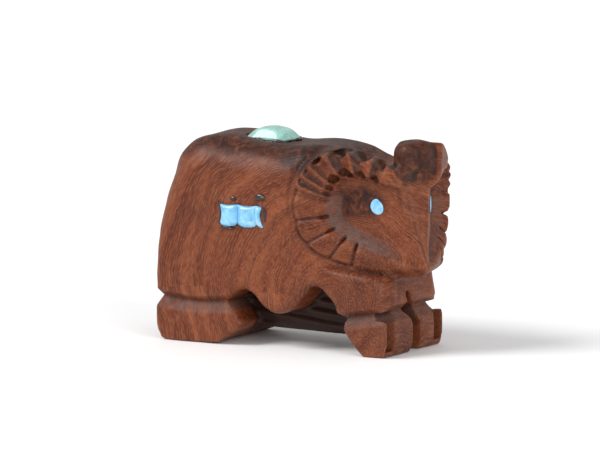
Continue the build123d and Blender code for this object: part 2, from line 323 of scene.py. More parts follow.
# Poll: the block of burl left between the horns, its face a little ahead of the forehead
poll_middle, poll_half, poll_round = (7.2, 0.05, 39.2), (3.1, 3.8, 6.2), 2.3
poll_offsets = [
    np.abs(value - middle) - half + poll_round
    for value, middle, half in zip((face_back, face_across, z), poll_middle, poll_half)
]
outside = np.sqrt(sum(np.maximum(offset, 0) ** 2 for offset in poll_offsets))
poll = outside + np.minimum(np.maximum.reduce(list(np.broadcast_arrays(*poll_offsets))), 0) - poll_round
poll_fillet, head_fillet = 2.6, 1.5
body = join(join(body, poll, poll_fillet), head, head_fillet)
body = cut(body, hollows, 0.35)

# Ankles: a groove round every leg, steep above and sloped below, higher at the front of a leg
rear_ankle_z, front_ankle_z = 9.5, 7.7
rear_groove_z = rear_ankle_z - 0.5 * np.cos((x + 22) / 4.5)
front_groove_z = front_ankle_z + 0.18 * (x - 13)
groove_z = np.where(x < 0, rear_groove_z, front_groove_z)
on_legs = np.maximum(1 - ease(x, -13.0, -11.0), ease(x, 12.0, 13.5))
above, below = (z - groove_z) / 1.3, (groove_z - z) / 2.5
ankle = np.clip(1 - np.where(z > groove_z, above, below), 0, 1) * on_legs
ankle_dust = np.clip(1 - np.abs(z - groove_z + 1.2) / 1.7, 0, 1) * on_legs

# Toes: an upright notch in the front of each front foot
notch_plan = curve_through([(28, -12.4), (22.9, -11.6), (22.5, -9.1), (28, -7.5)], corners=(0, 1, 2, 3))
notches = outline_distance(notch_plan, x[:, :, 0], -np.abs(y[0, :, 0])[None, :])[:, :, None]
notches = np.maximum(np.broadcast_to(notches, body.shape), np.maximum(1.3 - z, z - 8.2))
body = cut(body, notches, 0.35)

# Two scribed lines: one between the forehead and the right horn, and one under the poll
brow_line = np.clip(1 - np.abs(out_right + 0.55) / 0.5, 0, 1) * (np.abs(forehead) < 1.5) * ease(z, 20, 23)
brow_line = brow_line * (1 - ease(z, 36.5, 37.5))
poll_line = np.clip(1 - np.abs(z - 36.7) / 0.5, 0, 1) * (face_back < 7) * ease(out_right, -8.5, -7.5)
poll_line = poll_line * (1 - ease(out_left, -1.6, -0.8)) * (1 - ease(out_right, -0.4, 0.2))

# Pockets for the flank stones, kept in from each stone's edge so that no gap shows round it
pocket_inset = 0.9


def stone_box(node):
    low, high = (np.array(corner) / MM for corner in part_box(node))
    return low, high


for name, side in sides.items():
    low, high = stone_box(f"{name}_flank_stone")
    pocket = np.maximum(np.abs(x - (low + high)[0] / 2) - (high - low)[0] / 2 + pocket_inset,
                        np.abs(z - (low + high)[2] / 2) - (high - low)[2] / 2 + pocket_inset)
    body = cut(body, np.maximum(pocket, half_width - 1.5 - side * y), 0.1)

# The back stone has round corners, and so has its pocket, with a little room for the glue
stone_corner, stone_shift, glue_room = 2.8, 0.35, 0.15  # the stone sits a little forward
low, high = stone_box("back_stone")
stone_middle = (low + high) / 2
stone_half = (high - low)[:2] / 2 - (0.45, 0.2)
over_long = np.abs(x - stone_middle[0] - stone_shift) - stone_half[0] - glue_room + stone_corner
over_wide = np.abs(y - stone_middle[1]) - stone_half[1] - glue_room + stone_corner
pocket = np.hypot(np.maximum(over_long, 0), np.maximum(over_wide, 0)) - stone_corner
pocket = pocket + np.minimum(np.maximum(over_long, over_wide), 0)
body = cut(body, np.maximum(pocket, low[2] - z), 0.1)

# Where the wood turns to burl: along the back, the neck and the poll, and in the right cheek. The dark wall
# of each groove gets the same dark mottled colour as painted shade.
cheek_burl = np.exp(-(((back_right - 15.5) / 6.5) ** 2 + ((z - 32.5) / 5.0) ** 2)) * ease(-y, 4, 7)
neck_burl = np.exp(-(((x - 4.0) / 7.0) ** 2 + ((z - 42.0) / 4.5) ** 2))
poll_burl = ease(-poll, -2.4, -0.4) * ease(z, 35.3, 39.0)
burl_and_groove_shade_field = np.maximum.reduce(np.broadcast_arrays(
    (1 - horn_face) * np.maximum(0.9 * ease(z, 36.5, 44.0), 1.1 * neck_burl),
    cheek_burl, poll_burl, 0.8 * shaded,
))
# Painted shade under the middle of the belly, on the keel between the legs, and the dark wood of the neck
# at half strength
keel_shade_and_dark_neck = ease(5.6 - np.abs(y), 0, 1.2) * (1 - ease(z, 13, 16)) * (1 - ease(np.abs(x - 1), 13.5, 16))
keel_shade_and_dark_neck = np.maximum(keel_shade_and_dark_neck, 0.5 * (1 - horn_face) * neck_burl)

# The marks of the knife, and the slight unevenness that sanding leaves
uneven = 0.10 * np.sin(0.55 * x + 1.7 * np.sin(0.3 * z)) * np.sin(0.5 * z + 0.4 * y)
ankle_depth, brow_line_depth, poll_line_depth = 1.45, 0.25, 0.3
carved = body + rib_cuts + horn_line + ankle_depth * ankle + uneven
carved = carved + brow_line_depth * brow_line + poll_line_depth * poll_line
carved = np.maximum(carved, np.maximum(sole_z - z, rump_x - x))


def surface_mesh(name, field):
    """A closed mesh of where a field is zero, in metres."""
    grid = openvdb.FloatGrid(2.0)
    grid.copyFromArray(np.clip(field, -2.0, 2.0).astype(np.float32))
    points, quads = grid.convertToQuads(0.0)
    points = (grid_corner + points * grid_step) * MM
    mesh = bpy.data.meshes.new(name)
    mesh.from_pydata(points.tolist(), [], quads[:, ::-1].tolist())
    corners = points[quads[:, ::-1]]
    normals = np.cross(corners[:, 2] - corners[:, 0], corners[:, 3] - corners[:, 1])
    if (corners[:, 0] * normals).sum() < 0:
        mesh.flip_normals()
    return mesh


def sample(field, points):
    """A grid field read at points in metres, with straight-line blending between grid points."""
    field = np.broadcast_to(field, carved.shape)
    place = np.clip((points / MM - grid_corner) / grid_step, 0, np.array(carved.shape) - 1.001)
    cell = place.astype(int)
    part = place - cell
    total = 0
    for corner in np.ndindex(2, 2, 2):
        weight = np.prod(np.where(np.array(corner), part, 1 - part), axis=1)
        i, j, k = (cell + corner).T
        total = total + weight * field[i, j, k]
    return total


def finished(mesh, name, node=None):
    """Puts a finished piece in the scene, on the body, in place of its CAD node."""
    piece = bpy.data.objects.new(name, mesh)
    bpy.context.scene.collection.objects.link(piece)
    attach(piece, "root")
    if node:
        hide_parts(node)
    return piece


def points_of(mesh):
    flat = np.empty(3 * len(mesh.vertices))
    mesh.vertices.foreach_get("co", flat)
    return flat.reshape(-1, 3)


def with_modifier(mesh, kind, **settings):
    """The mesh with one modifier applied."""
    carrier = bpy.data.objects.new("carrier", mesh)
    bpy.context.scene.collection.objects.link(carrier)
    modifier = carrier.modifiers.new(kind.lower(), kind)
    for setting, value in settings.items():
        setattr(modifier, setting, value)
    evaluated = carrier.evaluated_get(bpy.context.evaluated_depsgraph_get())
    result = bpy.data.meshes.new_from_object(evaluated)
    bpy.data.objects.remove(carrier)
    bpy.data.meshes.remove(mesh)
    return result


def curvature(field, reach):
    """How far a point's neighbours lie outside it: above 0 on edges, below 0 in grooves."""
    total = np.zeros_like(field)
    for axis in range(3):
        total += np.roll(field, reach, axis) + np.roll(field, -reach, axis)
    return total / 6 - field


body_mesh = surface_mesh("carved_ram", carved)
triangles = 2 * len(body_mesh.polygons)
if triangles > most_triangles:
    body_mesh = with_modifier(body_mesh, "DECIMATE", ratio=most_triangles / triangles)
body_mesh.name = "carved_ram"
body_mesh.shade_smooth()
body_mesh.set_sharp_from_angle(angle=radians(38))
skin = points_of(body_mesh)
bend = curvature(carved, 2)
marks = {
    "dust": np.maximum(ankle_dust, lip_dust),
    # edges worn pale by handling, with a painted highlight as well
    "edge_wear_and_highlight": np.clip(bend / 0.22, 0, 1),
    # painted shade in grooves and hollows, where the surface bends inwards
    "crease_shade": np.clip(-bend / 0.22, 0, 1),
    # burl, and painted shade on one wall of each horn groove
    "burl_and_groove_shade": burl_and_groove_shade_field,
    # painted shade on the keel, and the dark neck wood
    "keel_shade_and_dark_neck": keel_shade_and_dark_neck,
}
for mark, field in marks.items():
    attribute = body_mesh.attributes.new(mark, "FLOAT", "POINT")
    attribute.data.foreach_set("value", np.clip(sample(field, skin), 0, 1))


def shader_node(tree, kind, inputs, **settings):
    """A node with its settings, and each input a number, a colour or another node's output."""
    node = tree.nodes.new(kind)
    for setting, value in settings.items():
        setattr(node, setting, value)
    for socket, value in inputs.items():
        if isinstance(value, bpy.types.NodeSocket):
            tree.links.new(value, node.inputs[socket])
        else:
            node.inputs[socket].default_value = value
    return node


def math(tree, operation, first, second=0.0, third=0.0, clamp=False):
    inputs = {0: first, 1: second, 2: third}
    return shader_node(tree, "ShaderNodeMath", inputs, operation=operation, use_clamp=clamp).outputs[0]


def colour_ramp(tree, value, *stops):
    """Colours at positions along a ramp, each stop (position, (red, green, blue))."""
    node = shader_node(tree, "ShaderNodeValToRGB", {0: value})
    elements = node.color_ramp.elements
    while len(elements) < len(stops):
        elements.new(1.0)
    for element, (position, colour) in zip(elements, stops):
        element.position = position
        element.color = (*colour, 1.0)
    return node.outputs["Color"]


def blend(tree, factor, first, second, how="MIX"):
    inputs = {0: factor, 6: first, 7: second}
    node = shader_node(tree, "ShaderNodeMix", inputs, data_type="RGBA", blend_type=how)
    return node.outputs[2]


def noise(tree, vector, scale, detail=3.0, roughness=0.5, distortion=0.0):
    inputs = {"Vector": vector, "Scale": scale, "Detail": detail, "Roughness": roughness,
              "Distortion": distortion}
    return shader_node(tree, "ShaderNodeTexNoise", inputs)


def between(tree, value, start, end):
    """0 at start, 1 at end, smooth between."""
    inputs = {"Value": value, 1: start, 2: end}
    node = shader_node(tree, "ShaderNodeMapRange", inputs, interpolation_type="SMOOTHSTEP")
    return node.outputs[0]


def new_material(name):
    """A material with one shader, and the piece's own coordinates in millimetres."""
    material = bpy.data.materials.new(name)
    material.use_nodes = True
    tree = material.node_tree
    tree.nodes.clear()
    output = tree.nodes.new("ShaderNodeOutputMaterial")
    shader = tree.nodes.new("ShaderNodeBsdfPrincipled")
    tree.links.new(shader.outputs[0], output.inputs["Surface"])
    coordinates = tree.nodes.new("ShaderNodeTexCoord").outputs["Object"]
    place = shader_node(tree, "ShaderNodeMapping", {"Vector": coordinates, "Scale": (1000, 1000, 1000)})
    return material, tree, shader, place.outputs[0]


def mark(tree, name):
    """How strongly a mark stored on the carving shows at each point."""
    node = tree.nodes.new("ShaderNodeAttribute")
    node.attribute_name = name
    return node.outputs["Fac"]


def figured_wood():
    """Reddish root wood: fine growth rings round a heart low in the chest, burl along the top."""
    ring_spacing = 0.56
    heart = (12.5, 0, 12)
    material, tree, shader, place = new_material("figured_wood")
    from_heart = shader_node(
        tree, "ShaderNodeVectorMath", {0: place, 1: heart}, operation="SUBTRACT"
    ).outputs[0]
    drift = noise(tree, place, 0.055, 2.5).outputs["Color"]
    drift = shader_node(tree, "ShaderNodeVectorMath", {0: drift, 1: (-0.5, -0.5, -0.5)}).outputs[0]
    drifted = shader_node(
        tree, "ShaderNodeVectorMath", {0: drift, 1: (7, 7, 7), 2: from_heart}, operation="MULTIPLY_ADD"
    ).outputs[0]
    flat = shader_node(
        tree, "ShaderNodeVectorMath", {0: drifted, 1: (1, 0.25, 1)}, operation="MULTIPLY"
    ).outputs[0]
    radius = shader_node(tree, "ShaderNodeVectorMath", {0: flat}, operation="LENGTH").outputs["Value"]
    wobble = noise(tree, place, 0.45, 3.0).outputs["Fac"]
    radius = math(tree, "MULTIPLY_ADD", wobble, 0.9, radius)

    ring = math(tree, "SINE", math(tree, "MULTIPLY", radius, 2 * pi / ring_spacing))
    ring = math(tree, "MULTIPLY_ADD", ring, 0.5, 0.5)
    ring = math(tree, "POWER", ring, 1.7)
    split = shader_node(tree, "ShaderNodeSeparateXYZ", {0: drifted})
    along = shader_node(
        tree, "ShaderNodeCombineXYZ",
        {0: math(tree, "MULTIPLY", radius, 0.55), 1: math(tree, "MULTIPLY", split.outputs[1], 0.12),
         2: math(tree, "ARCTAN2", split.outputs[2], split.outputs[0])},
    ).outputs[0]
    strength = noise(tree, along, 1.1, 2.0).outputs["Fac"]
    ring = math(tree, "MULTIPLY", ring, between(tree, strength, 0.38, 0.64))
    band = noise(tree, along, 0.75, 4.0, 0.6).outputs["Fac"]
    wood = colour_ramp(
        tree, band,
        (0.28, (0.078, 0.014, 0.004)), (0.45, (0.148, 0.033, 0.011)), (0.60, (0.195, 0.051, 0.018)),
        (0.78, (0.29, 0.086, 0.032)),
    )
    patch = noise(tree, place, 0.045, 2.0).outputs["Fac"]
    shade = math(tree, "MULTIPLY", between(tree, patch, 0.42, 0.66), 0.62)
    wood = blend(tree, shade, wood, (0.075, 0.018, 0.009, 1))
    fibre = noise(tree, shader_node(tree, "ShaderNodeVectorMath", {0: along, 1: (6, 3, 26)},
                                    operation="MULTIPLY").outputs[0], 1.0, 3.0, 0.6).outputs["Fac"]
    pale_fibre = math(tree, "MULTIPLY", between(tree, fibre, 0.46, 0.66), 0.5)
    wood = blend(tree, pale_fibre, wood, (0.26, 0.095, 0.045, 1))
    streak = between(tree, fibre, 0.46, 0.32)
    wood = blend(tree, math(tree, "MULTIPLY", streak, 0.55), wood, (0.055, 0.013, 0.006, 1))
    wood = blend(tree, math(tree, "MULTIPLY", ring, 0.64), wood, (0.048, 0.010, 0.005, 1))

    # Burl along the back, the poll and the neck: mottled orange and near black, also painted as shade on
    # the dark wall of each horn groove
    knots = noise(tree, place, 0.34, 6.0, 0.62, 1.6).outputs["Fac"]
    burl_and_groove_shade = colour_ramp(
        tree, knots,
        (0.36, (0.016, 0.005, 0.003)), (0.50, (0.048, 0.012, 0.006)), (0.61, (0.098, 0.026, 0.010)),
        (0.74, (0.20, 0.064, 0.025)),
    )
    ragged = noise(tree, place, 0.16, 5.0, 0.62).outputs["Fac"]
    ragged = math(tree, "ADD", ragged, mark(tree, "burl_and_groove_shade"))
    wood = blend(tree, between(tree, ragged, 0.85, 1.25), wood, burl_and_groove_shade)

    # Handling wears the edges pale and they also get a painted highlight, painted shade darkens the grooves
    # and hollows, and dust stays in the coarse cuts
    specks = noise(tree, place, 2.4, 4.0, 0.65).outputs["Fac"]
    dust, crease_shade, keel_shade_and_dark_neck = mark(tree, "dust"), mark(tree, "crease_shade"), mark(tree, "keel_shade_and_dark_neck")
    # Edges worn pale, and lightened too as a painted highlight
    pale = math(tree, "MULTIPLY", mark(tree, "edge_wear_and_highlight"), between(tree, specks, 0.35, 0.62))
    wood = blend(tree, math(tree, "MULTIPLY", pale, 0.32), wood, (0.27, 0.115, 0.06, 1))
    # Painted shade in the grooves and hollows
    wood = blend(tree, math(tree, "MULTIPLY", crease_shade, 0.85), wood, (0.014, 0.006, 0.005, 1))
    # Painted shade on the keel under the belly, and dark wood on the neck
    wood = blend(tree, math(tree, "MULTIPLY", keel_shade_and_dark_neck, 0.88), wood, (0.010, 0.005, 0.004, 1))
    fuzz = between(tree, noise(tree, place, 0.8, 5.0, 0.6).outputs["Fac"], 0.35, 0.65)
    powder = math(tree, "MULTIPLY", dust, math(tree, "MULTIPLY_ADD", fuzz, 0.5, 0.3))
    wood = blend(tree, powder, wood, (0.125, 0.085, 0.076, 1))
    tree.links.new(wood, shader.inputs["Base Color"])

    rough = math(tree, "MULTIPLY_ADD", specks, 0.22, 0.34)
    rough = math(tree, "MULTIPLY_ADD", dust, 0.35, rough, clamp=True)
    tree.links.new(rough, shader.inputs["Roughness"])
    shader.inputs["Specular IOR Level"].default_value = 0.22
    relief = math(tree, "MULTIPLY_ADD", ring, -0.5, math(tree, "MULTIPLY", specks, 0.5))
    relief = math(tree, "MULTIPLY_ADD", powder, math(tree, "MULTIPLY", fuzz, 1.5), relief)
    bump = shader_node(tree, "ShaderNodeBump", {"Height": relief, "Strength": 0.55, "Distance": 0.00012})
    tree.links.new(bump.outputs[0], shader.inputs["Normal"])
    return material


body_mesh.materials.append(figured_wood())
finished(body_mesh, "carved_ram", "carved_body")

# ------------------------------------------------------------------------------ Flank stones
# A bar of sky-blue turquoise in each flank, ground to upright lobes so that its long edges wave.
# It sits proud of the wood in a shallow pocket, held by dark glue.
lobe_count = 2.35
lobe_depth = 0.9
lobe_wave = 0.7
end_hollow = 0.55
tail_drop = 0.45


def turquoise(name, pale, blue, deep, patch, patch_side):
    """Polished turquoise: cloudy colour with pale patches and a few fine dark veins."""
    material, tree, shader, place = new_material(name)
    clouds = noise(tree, place, 0.42, 4.0, 0.6, 0.6).outputs["Fac"]
    colour = colour_ramp(tree, clouds, (0.30, deep), (0.47, blue), (0.66, pale))
    across = shader_node(tree, "ShaderNodeSeparateXYZ", {0: place}).outputs[0]
    patches = noise(tree, place, 0.5, 3.0, 0.55, 0.4).outputs["Fac"]
    patches = math(tree, "MULTIPLY_ADD", across, patch_side, patches)
    colour = blend(tree, between(tree, patches, 0.52, 0.68), colour, (*patch, 1))
    veins = shader_node(
        tree, "ShaderNodeTexVoronoi", {"Vector": place, "Scale": 0.55}, feature="DISTANCE_TO_EDGE"
    ).outputs["Distance"]
    broken = noise(tree, place, 0.8, 3.0).outputs["Fac"]
    veins = math(tree, "MULTIPLY", between(tree, veins, 0.05, 0.0), between(tree, broken, 0.52, 0.62))
    colour = blend(tree, math(tree, "MULTIPLY", veins, 0.45), colour, (0.10, 0.13, 0.12, 1))
    tree.links.new(colour, shader.inputs["Base Color"])
    pores = noise(tree, place, 3.2, 3.0, 0.6).outputs["Fac"]
    tree.links.new(math(tree, "MULTIPLY_ADD", pores, 0.2, 0.18), shader.inputs["Roughness"])
    bump = shader_node(tree, "ShaderNodeBump", {"Height": pores, "Strength": 0.25, "Distance": 0.00006})
    tree.links.new(bump.outputs[0], shader.inputs["Normal"])
    shader.inputs["Coat Weight"].default_value = 0.15
    return material


sky_turquoise = turquoise(
    "sky_turquoise", (0.26, 0.56, 0.80), (0.16, 0.44, 0.72), (0.10, 0.32, 0.56), (0.32, 0.56, 0.68), 0.0
)


def shape_tree(name, **sizes):
    """An empty Geometry Nodes tree whose inputs are the named sizes; gives the tree and its input node."""
    tree = bpy.data.node_groups.new(name, "GeometryNodeTree")
    tree.interface.new_socket("Geometry", in_out="INPUT", socket_type="NodeSocketGeometry")
    for size, value in sizes.items():
        kind = "NodeSocketMaterial" if value is None else "NodeSocketFloat"
        socket = tree.interface.new_socket(size, in_out="INPUT", socket_type=kind)
        if value is not None:
            socket.default_value = value
    tree.interface.new_socket("Geometry", in_out="OUTPUT", socket_type="NodeSocketGeometry")
    return tree, tree.nodes.new("NodeGroupInput").outputs


def grown(carrier, tree, **inputs):
    """The mesh that a Geometry Nodes tree makes of an object, with its named inputs set."""
    bpy.context.scene.collection.objects.link(carrier)
    modifier = carrier.modifiers.new("grown", "NODES")
    modifier.node_group = tree
    sockets = {item.name: item.identifier for item in tree.interface.items_tree if item.in_out == "INPUT"}
    for name, value in inputs.items():
        modifier[sockets[name.replace("_", " ")]] = value
    evaluated = carrier.evaluated_get(bpy.context.evaluated_depsgraph_get())
    mesh = bpy.data.meshes.new_from_object(evaluated)
    bpy.data.objects.remove(carrier)
    return mesh


def end_tree(tree, geometry, material):
    """Closes a tree as every one here ends: real geometry with its material."""
    real = shader_node(tree, "GeometryNodeRealizeInstances", {0: geometry}).outputs[0]
    coated = shader_node(
        tree, "GeometryNodeSetMaterial", {"Geometry": real, "Material": material}
    ).outputs[0]
    tree.links.new(coated, tree.nodes.new("NodeGroupOutput").inputs[0])


def lobed_bar_tree():
    """A closed bar, 1 by 1 by 1 before it is sized, ground to lobes along its length."""
    tree, sizes = shape_tree(
        "lobed_bar", Length=0.01, Height=0.005, Thickness=0.002, Lobes=2.0, Depth=0.001, Wave=0.0004,
        Hollow=0.0004, Tail=0.0005, Stone=None,
    )
    block = shader_node(
        tree, "GeometryNodeMeshCube",
        {"Size": (1, 1, 1), "Vertices X": 97, "Vertices Y": 33, "Vertices Z": 7},
    ).outputs["Mesh"]
    position = tree.nodes.new("GeometryNodeInputPosition").outputs[0]
    place = shader_node(tree, "ShaderNodeSeparateXYZ", {0: position})
    u, v, w = place.outputs
    along = math(tree, "MULTIPLY", math(tree, "ADD", u, 0.5001), sizes["Lobes"])
    phase = math(tree, "MULTIPLY_ADD", math(tree, "FRACT", along), 2.0, -1.0)
    lobe = math(tree, "SQRT", math(tree, "SUBTRACT", 1.02, math(tree, "MULTIPLY", phase, phase)))
    rise = math(tree, "MULTIPLY", math(tree, "SUBTRACT", lobe, 1.01), sizes["Depth"])
    v_share = math(tree, "ABSOLUTE", math(tree, "MULTIPLY", v, 2.0))
    u_share = math(tree, "ABSOLUTE", math(tree, "MULTIPLY", u, 2.0))
    soft_edge = math(tree, "ADD", math(tree, "POWER", v_share, 7.0), math(tree, "POWER", u_share, 16.0))
    rise = math(tree, "MULTIPLY_ADD", soft_edge, -0.00055, rise)
    outer = math(tree, "ADD", w, 0.5)
    top = math(tree, "MULTIPLY", outer, math(tree, "ADD", sizes["Thickness"], rise))
    bow = math(tree, "SUBTRACT", 1.0, math(tree, "MULTIPLY", v_share, v_share))
    hollow = math(tree, "MULTIPLY", bow, sizes["Hollow"])
    hollow = math(tree, "MULTIPLY", hollow, math(tree, "MULTIPLY", u, 2.0))
    tail = math(tree, "MULTIPLY", math(tree, "POWER", between(tree, u, 0.2, 0.5), 2.0), sizes["Tail"])
    low_half = between(tree, v, 0.3, -0.5)
    new_u = math(tree, "SUBTRACT", math(tree, "MULTIPLY", u, sizes["Length"]), hollow)
    tail_back = math(tree, "SUBTRACT", tail, math(tree, "MULTIPLY", tail, low_half))
    new_u = math(tree, "SUBTRACT", new_u, tail_back)
    waved = math(tree, "MULTIPLY", math(tree, "SUBTRACT", lobe, 0.6), sizes["Wave"])
    inner_height = math(tree, "SUBTRACT", sizes["Height"], math(tree, "MULTIPLY", sizes["Wave"], 1.3))
    new_v = math(tree, "SUBTRACT", math(tree, "MULTIPLY", v, inner_height), waved)
    put = shader_node(tree, "ShaderNodeCombineXYZ", {0: new_u, 1: new_v, 2: top}).outputs[0]
    shaped = shader_node(tree, "GeometryNodeSetPosition", {"Geometry": block, "Position": put}).outputs[0]
    end_tree(tree, shaped, sizes["Stone"])
    return tree


def laid_out(mesh, corner, right, up):
    """Lays a flat-made piece in place: its X goes right, its Y up, and its Z out towards the viewer."""
    right, up = np.array(right, float), np.array(up, float)
    points = points_of(mesh)
    points = np.array(corner) + points @ np.stack([right, up, np.cross(right, up)])
    mesh.vertices.foreach_set("co", points.ravel())
    mesh.update()
    return mesh


def rim_line(mesh):
    """The closed line round a bar's flat inner face, in millimetres, in order."""
    flats = [face.vertices for face in mesh.polygons if abs(face.normal[1]) > 0.999]
    points = points_of(mesh)
    depth = np.abs(points[:, 1])
    flats = [face for face in flats if depth[list(face)].max() < depth.min() + 1e-6]
    used = {}
    for face in flats:
        for a, b in zip(face, [*face[1:], face[0]]):
            used[frozenset((a, b))] = used.get(frozenset((a, b)), 0) + 1
    edge = sorted({v for pair, times in used.items() if times == 1 for v in pair})
    rim = points[edge] / MM
    middle = rim.mean(axis=0)
    return rim[np.argsort(np.arctan2(rim[:, 2] - middle[2], rim[:, 0] - middle[0]))]


lobed_bar = lobed_bar_tree()
bar_rims = {}
for name, side in sides.items():
    low, high = (np.array(corner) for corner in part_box(f"{name}_flank_stone"))
    size = high - low
    mesh = grown(
        bpy.data.objects.new("bar", bpy.data.meshes.new("bar")), lobed_bar,
        Length=size[0], Height=size[2], Thickness=size[1], Lobes=lobe_count, Depth=lobe_depth * MM,
        Wave=lobe_wave * MM, Hollow=end_hollow * MM, Tail=tail_drop * MM, Stone=sky_turquoise,
    )
    inner_face = (low + high) / 2
    inner_face[1] = low[1] if side > 0 else high[1]
    laid_out(mesh, inner_face, (-side, 0, 0), (0, 0, 1))
    mesh.shade_smooth()
    mesh.set_sharp_from_angle(angle=radians(50))
    bar_rims[name] = rim_line(mesh)
    finished(mesh, f"{name}_flank_bar", f"{name}_flank_stone")

# ------------------------------------------------------------------------------ Back stone
# A low cushion of green turquoise let into the top of the back. It rises from the rear to its
# middle, falls gently to the front, and has its rim ground off all round. Glue fills the seam.
low, high = (np.array(corner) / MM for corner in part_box("back_stone"))
crown_rings = 22
around = 120


def rounded_rectangle(half_long, half_wide, corner, count):
    """Points round a rectangle with round corners, evenly spaced by angle."""
    points = []
    for k in range(count):
        turn = 2 * pi * k / count
        reach = 1 / max(abs(cos(turn)) / half_long, abs(sin(turn)) / half_wide)
        u, v = reach * cos(turn), reach * sin(turn)
        over_u, over_v = abs(u) - half_long + corner, abs(v) - half_wide + corner
        if over_u > 0 and over_v > 0:
            for _ in range(3):
                gap = np.hypot(over_u, over_v) - corner
                pull = gap / (gap + corner)
                u -= np.sign(u) * over_u * pull
                v -= np.sign(v) * over_v * pull
                over_u, over_v = abs(u) - half_long + corner, abs(v) - half_wide + corner
        points.append((u, v))
    return np.array(points)


def ringed_solid(name, rings):
    """A closed mesh from rings of equal point count, listed from the bottom up, in millimetres."""
    count = len(rings[0])
    points = np.concatenate(rings)
    faces = []
    for level in range(len(rings) - 1):
        for k in range(count):
            after = (k + 1) % count
            base = level * count
            faces.append((base + k, base + after, base + count + after, base + count + k))
    faces.append(tuple(reversed(range(count))))
    last = (len(rings) - 1) * count
    faces.append(tuple(last + k for k in range(count)))
    mesh = bpy.data.meshes.new(name)
    mesh.from_pydata((points * MM).tolist(), [], faces)
    mesh.update()
    return mesh


stone_plan = rounded_rectangle(*stone_half, stone_corner, around)
rings = [np.column_stack([stone_plan * 0.97, np.full(around, low[2])])]
for k in range(crown_rings):
    rim = k / crown_rings
    share = 1 - rim
    u, v = (stone_plan * share).T
    slope = ease(u / stone_plan[0, 0], -1.0, -0.15) - 0.62 * ease(u / stone_plan[0, 0], -0.05, 1.0)
    crown = 1 - 0.06 * (u / stone_plan[0, 0] + 0.2) ** 2 - 0.16 * (v / stone_plan[:, 1].max()) ** 2
    edge = 1 - (1 - ease(rim, -0.10, 0.42)) ** 1.5
    rise = 0.28 + 0.72 * edge * (0.52 + 0.48 * slope) * crown
    rise = np.minimum(rise, 1.0)
    rings.append(np.column_stack([u, v, low[2] + (high - low)[2] * rise]))
for ring in rings:
    ring[:, :2] += stone_middle[:2] + (stone_shift, 0)
back_mesh = ringed_solid("back_cushion", rings)
back_mesh.shade_smooth()
back_mesh.set_sharp_from_angle(angle=radians(60))
back_mesh.materials.append(turquoise(
    "green_turquoise", (0.35, 0.57, 0.51), (0.26, 0.49, 0.44), (0.17, 0.36, 0.32), (0.56, 0.55, 0.34), 0.02
))
finished(back_mesh, "back_cushion", "back_stone")

# ------------------------------------------------------------------------------ Eyes
# Round discs of sky-blue turquoise, gently domed with the rim rubbed round, set in drilled holes
# in the cheeks.
eye_look = {"right": radians(-83.2), "left": radians(27.8)}
eye_radius, eye_thickness = 1.75, 1.8

# The side outline of a disc from its back to near the middle of its face, each point a share of
# the radius and a share of half the thickness: straight sides, a rubbed rim and a low dome
eye_outline = [(1.0, -1.0), (1.0, 0.72)]
for step in range(1, 9):
    round_turn = step * pi / 2 / 9
    eye_outline.append((cos(round_turn) * 0.18 + 0.82, 0.72 + 0.17 * sin(round_turn)))
for step in range(1, 10):
    reach = 0.8 - 0.08 * step
    eye_outline.append((reach, 0.89 + 0.11 * (1 - reach**2 / 0.64)))

for name, side in sides.items():
    low, high = (np.array(corner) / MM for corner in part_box(f"{name}_eye"))
    middle = (low + high) / 2
    look = np.array([cos(eye_look[name]), sin(eye_look[name]), 0.0])
    level = np.array([-look[1], look[0], 0.0])
    rings = []
    for reach, rise in eye_outline:
        turn = np.arange(72) / 72 * 2 * pi
        radius = eye_radius * reach * (1 + 0.006 * np.sin(3 * turn + side))
        out = eye_thickness / 2 * rise
        ring = middle + out * look + np.outer(radius * np.cos(turn), level)
        ring = ring + np.outer(radius * np.sin(turn), (0, 0, 1))
        rings.append(ring)
    eye_mesh = ringed_solid(f"{name}_eye_disc", rings)
    eye_mesh.shade_smooth()
    eye_mesh.set_sharp_from_angle(angle=radians(60))
    eye_mesh.materials.append(sky_turquoise)
    finished(eye_mesh, f"{name}_eye_disc", f"{name}_eye")

# ------------------------------------------------------------------------------ Glue
# Dark glossy glue fills the pockets and has squeezed out as an uneven bead round each stone,
# with a few drops where it ran.


def glue_gloss():
    """Set resin: nearly black brown, wet-looking, with dust caught in it here and there."""
    material, tree, shader, place = new_material("glue")
    dusty = between(tree, noise(tree, place, 0.9, 4.0, 0.6).outputs["Fac"], 0.56, 0.70)
    dust_share = math(tree, "MULTIPLY", dusty, 0.45)
    colour = blend(tree, dust_share, (0.026, 0.010, 0.008, 1), (0.34, 0.24, 0.21, 1))
    tree.links.new(colour, shader.inputs["Base Color"])
    tree.links.new(math(tree, "MULTIPLY_ADD", dusty, 0.45, 0.10), shader.inputs["Roughness"])
    waves = noise(tree, place, 0.8, 2.0).outputs["Fac"]
    bump = shader_node(tree, "ShaderNodeBump", {"Height": waves, "Strength": 0.3, "Distance": 0.0002})
    tree.links.new(bump.outputs[0], shader.inputs["Normal"])
    return material


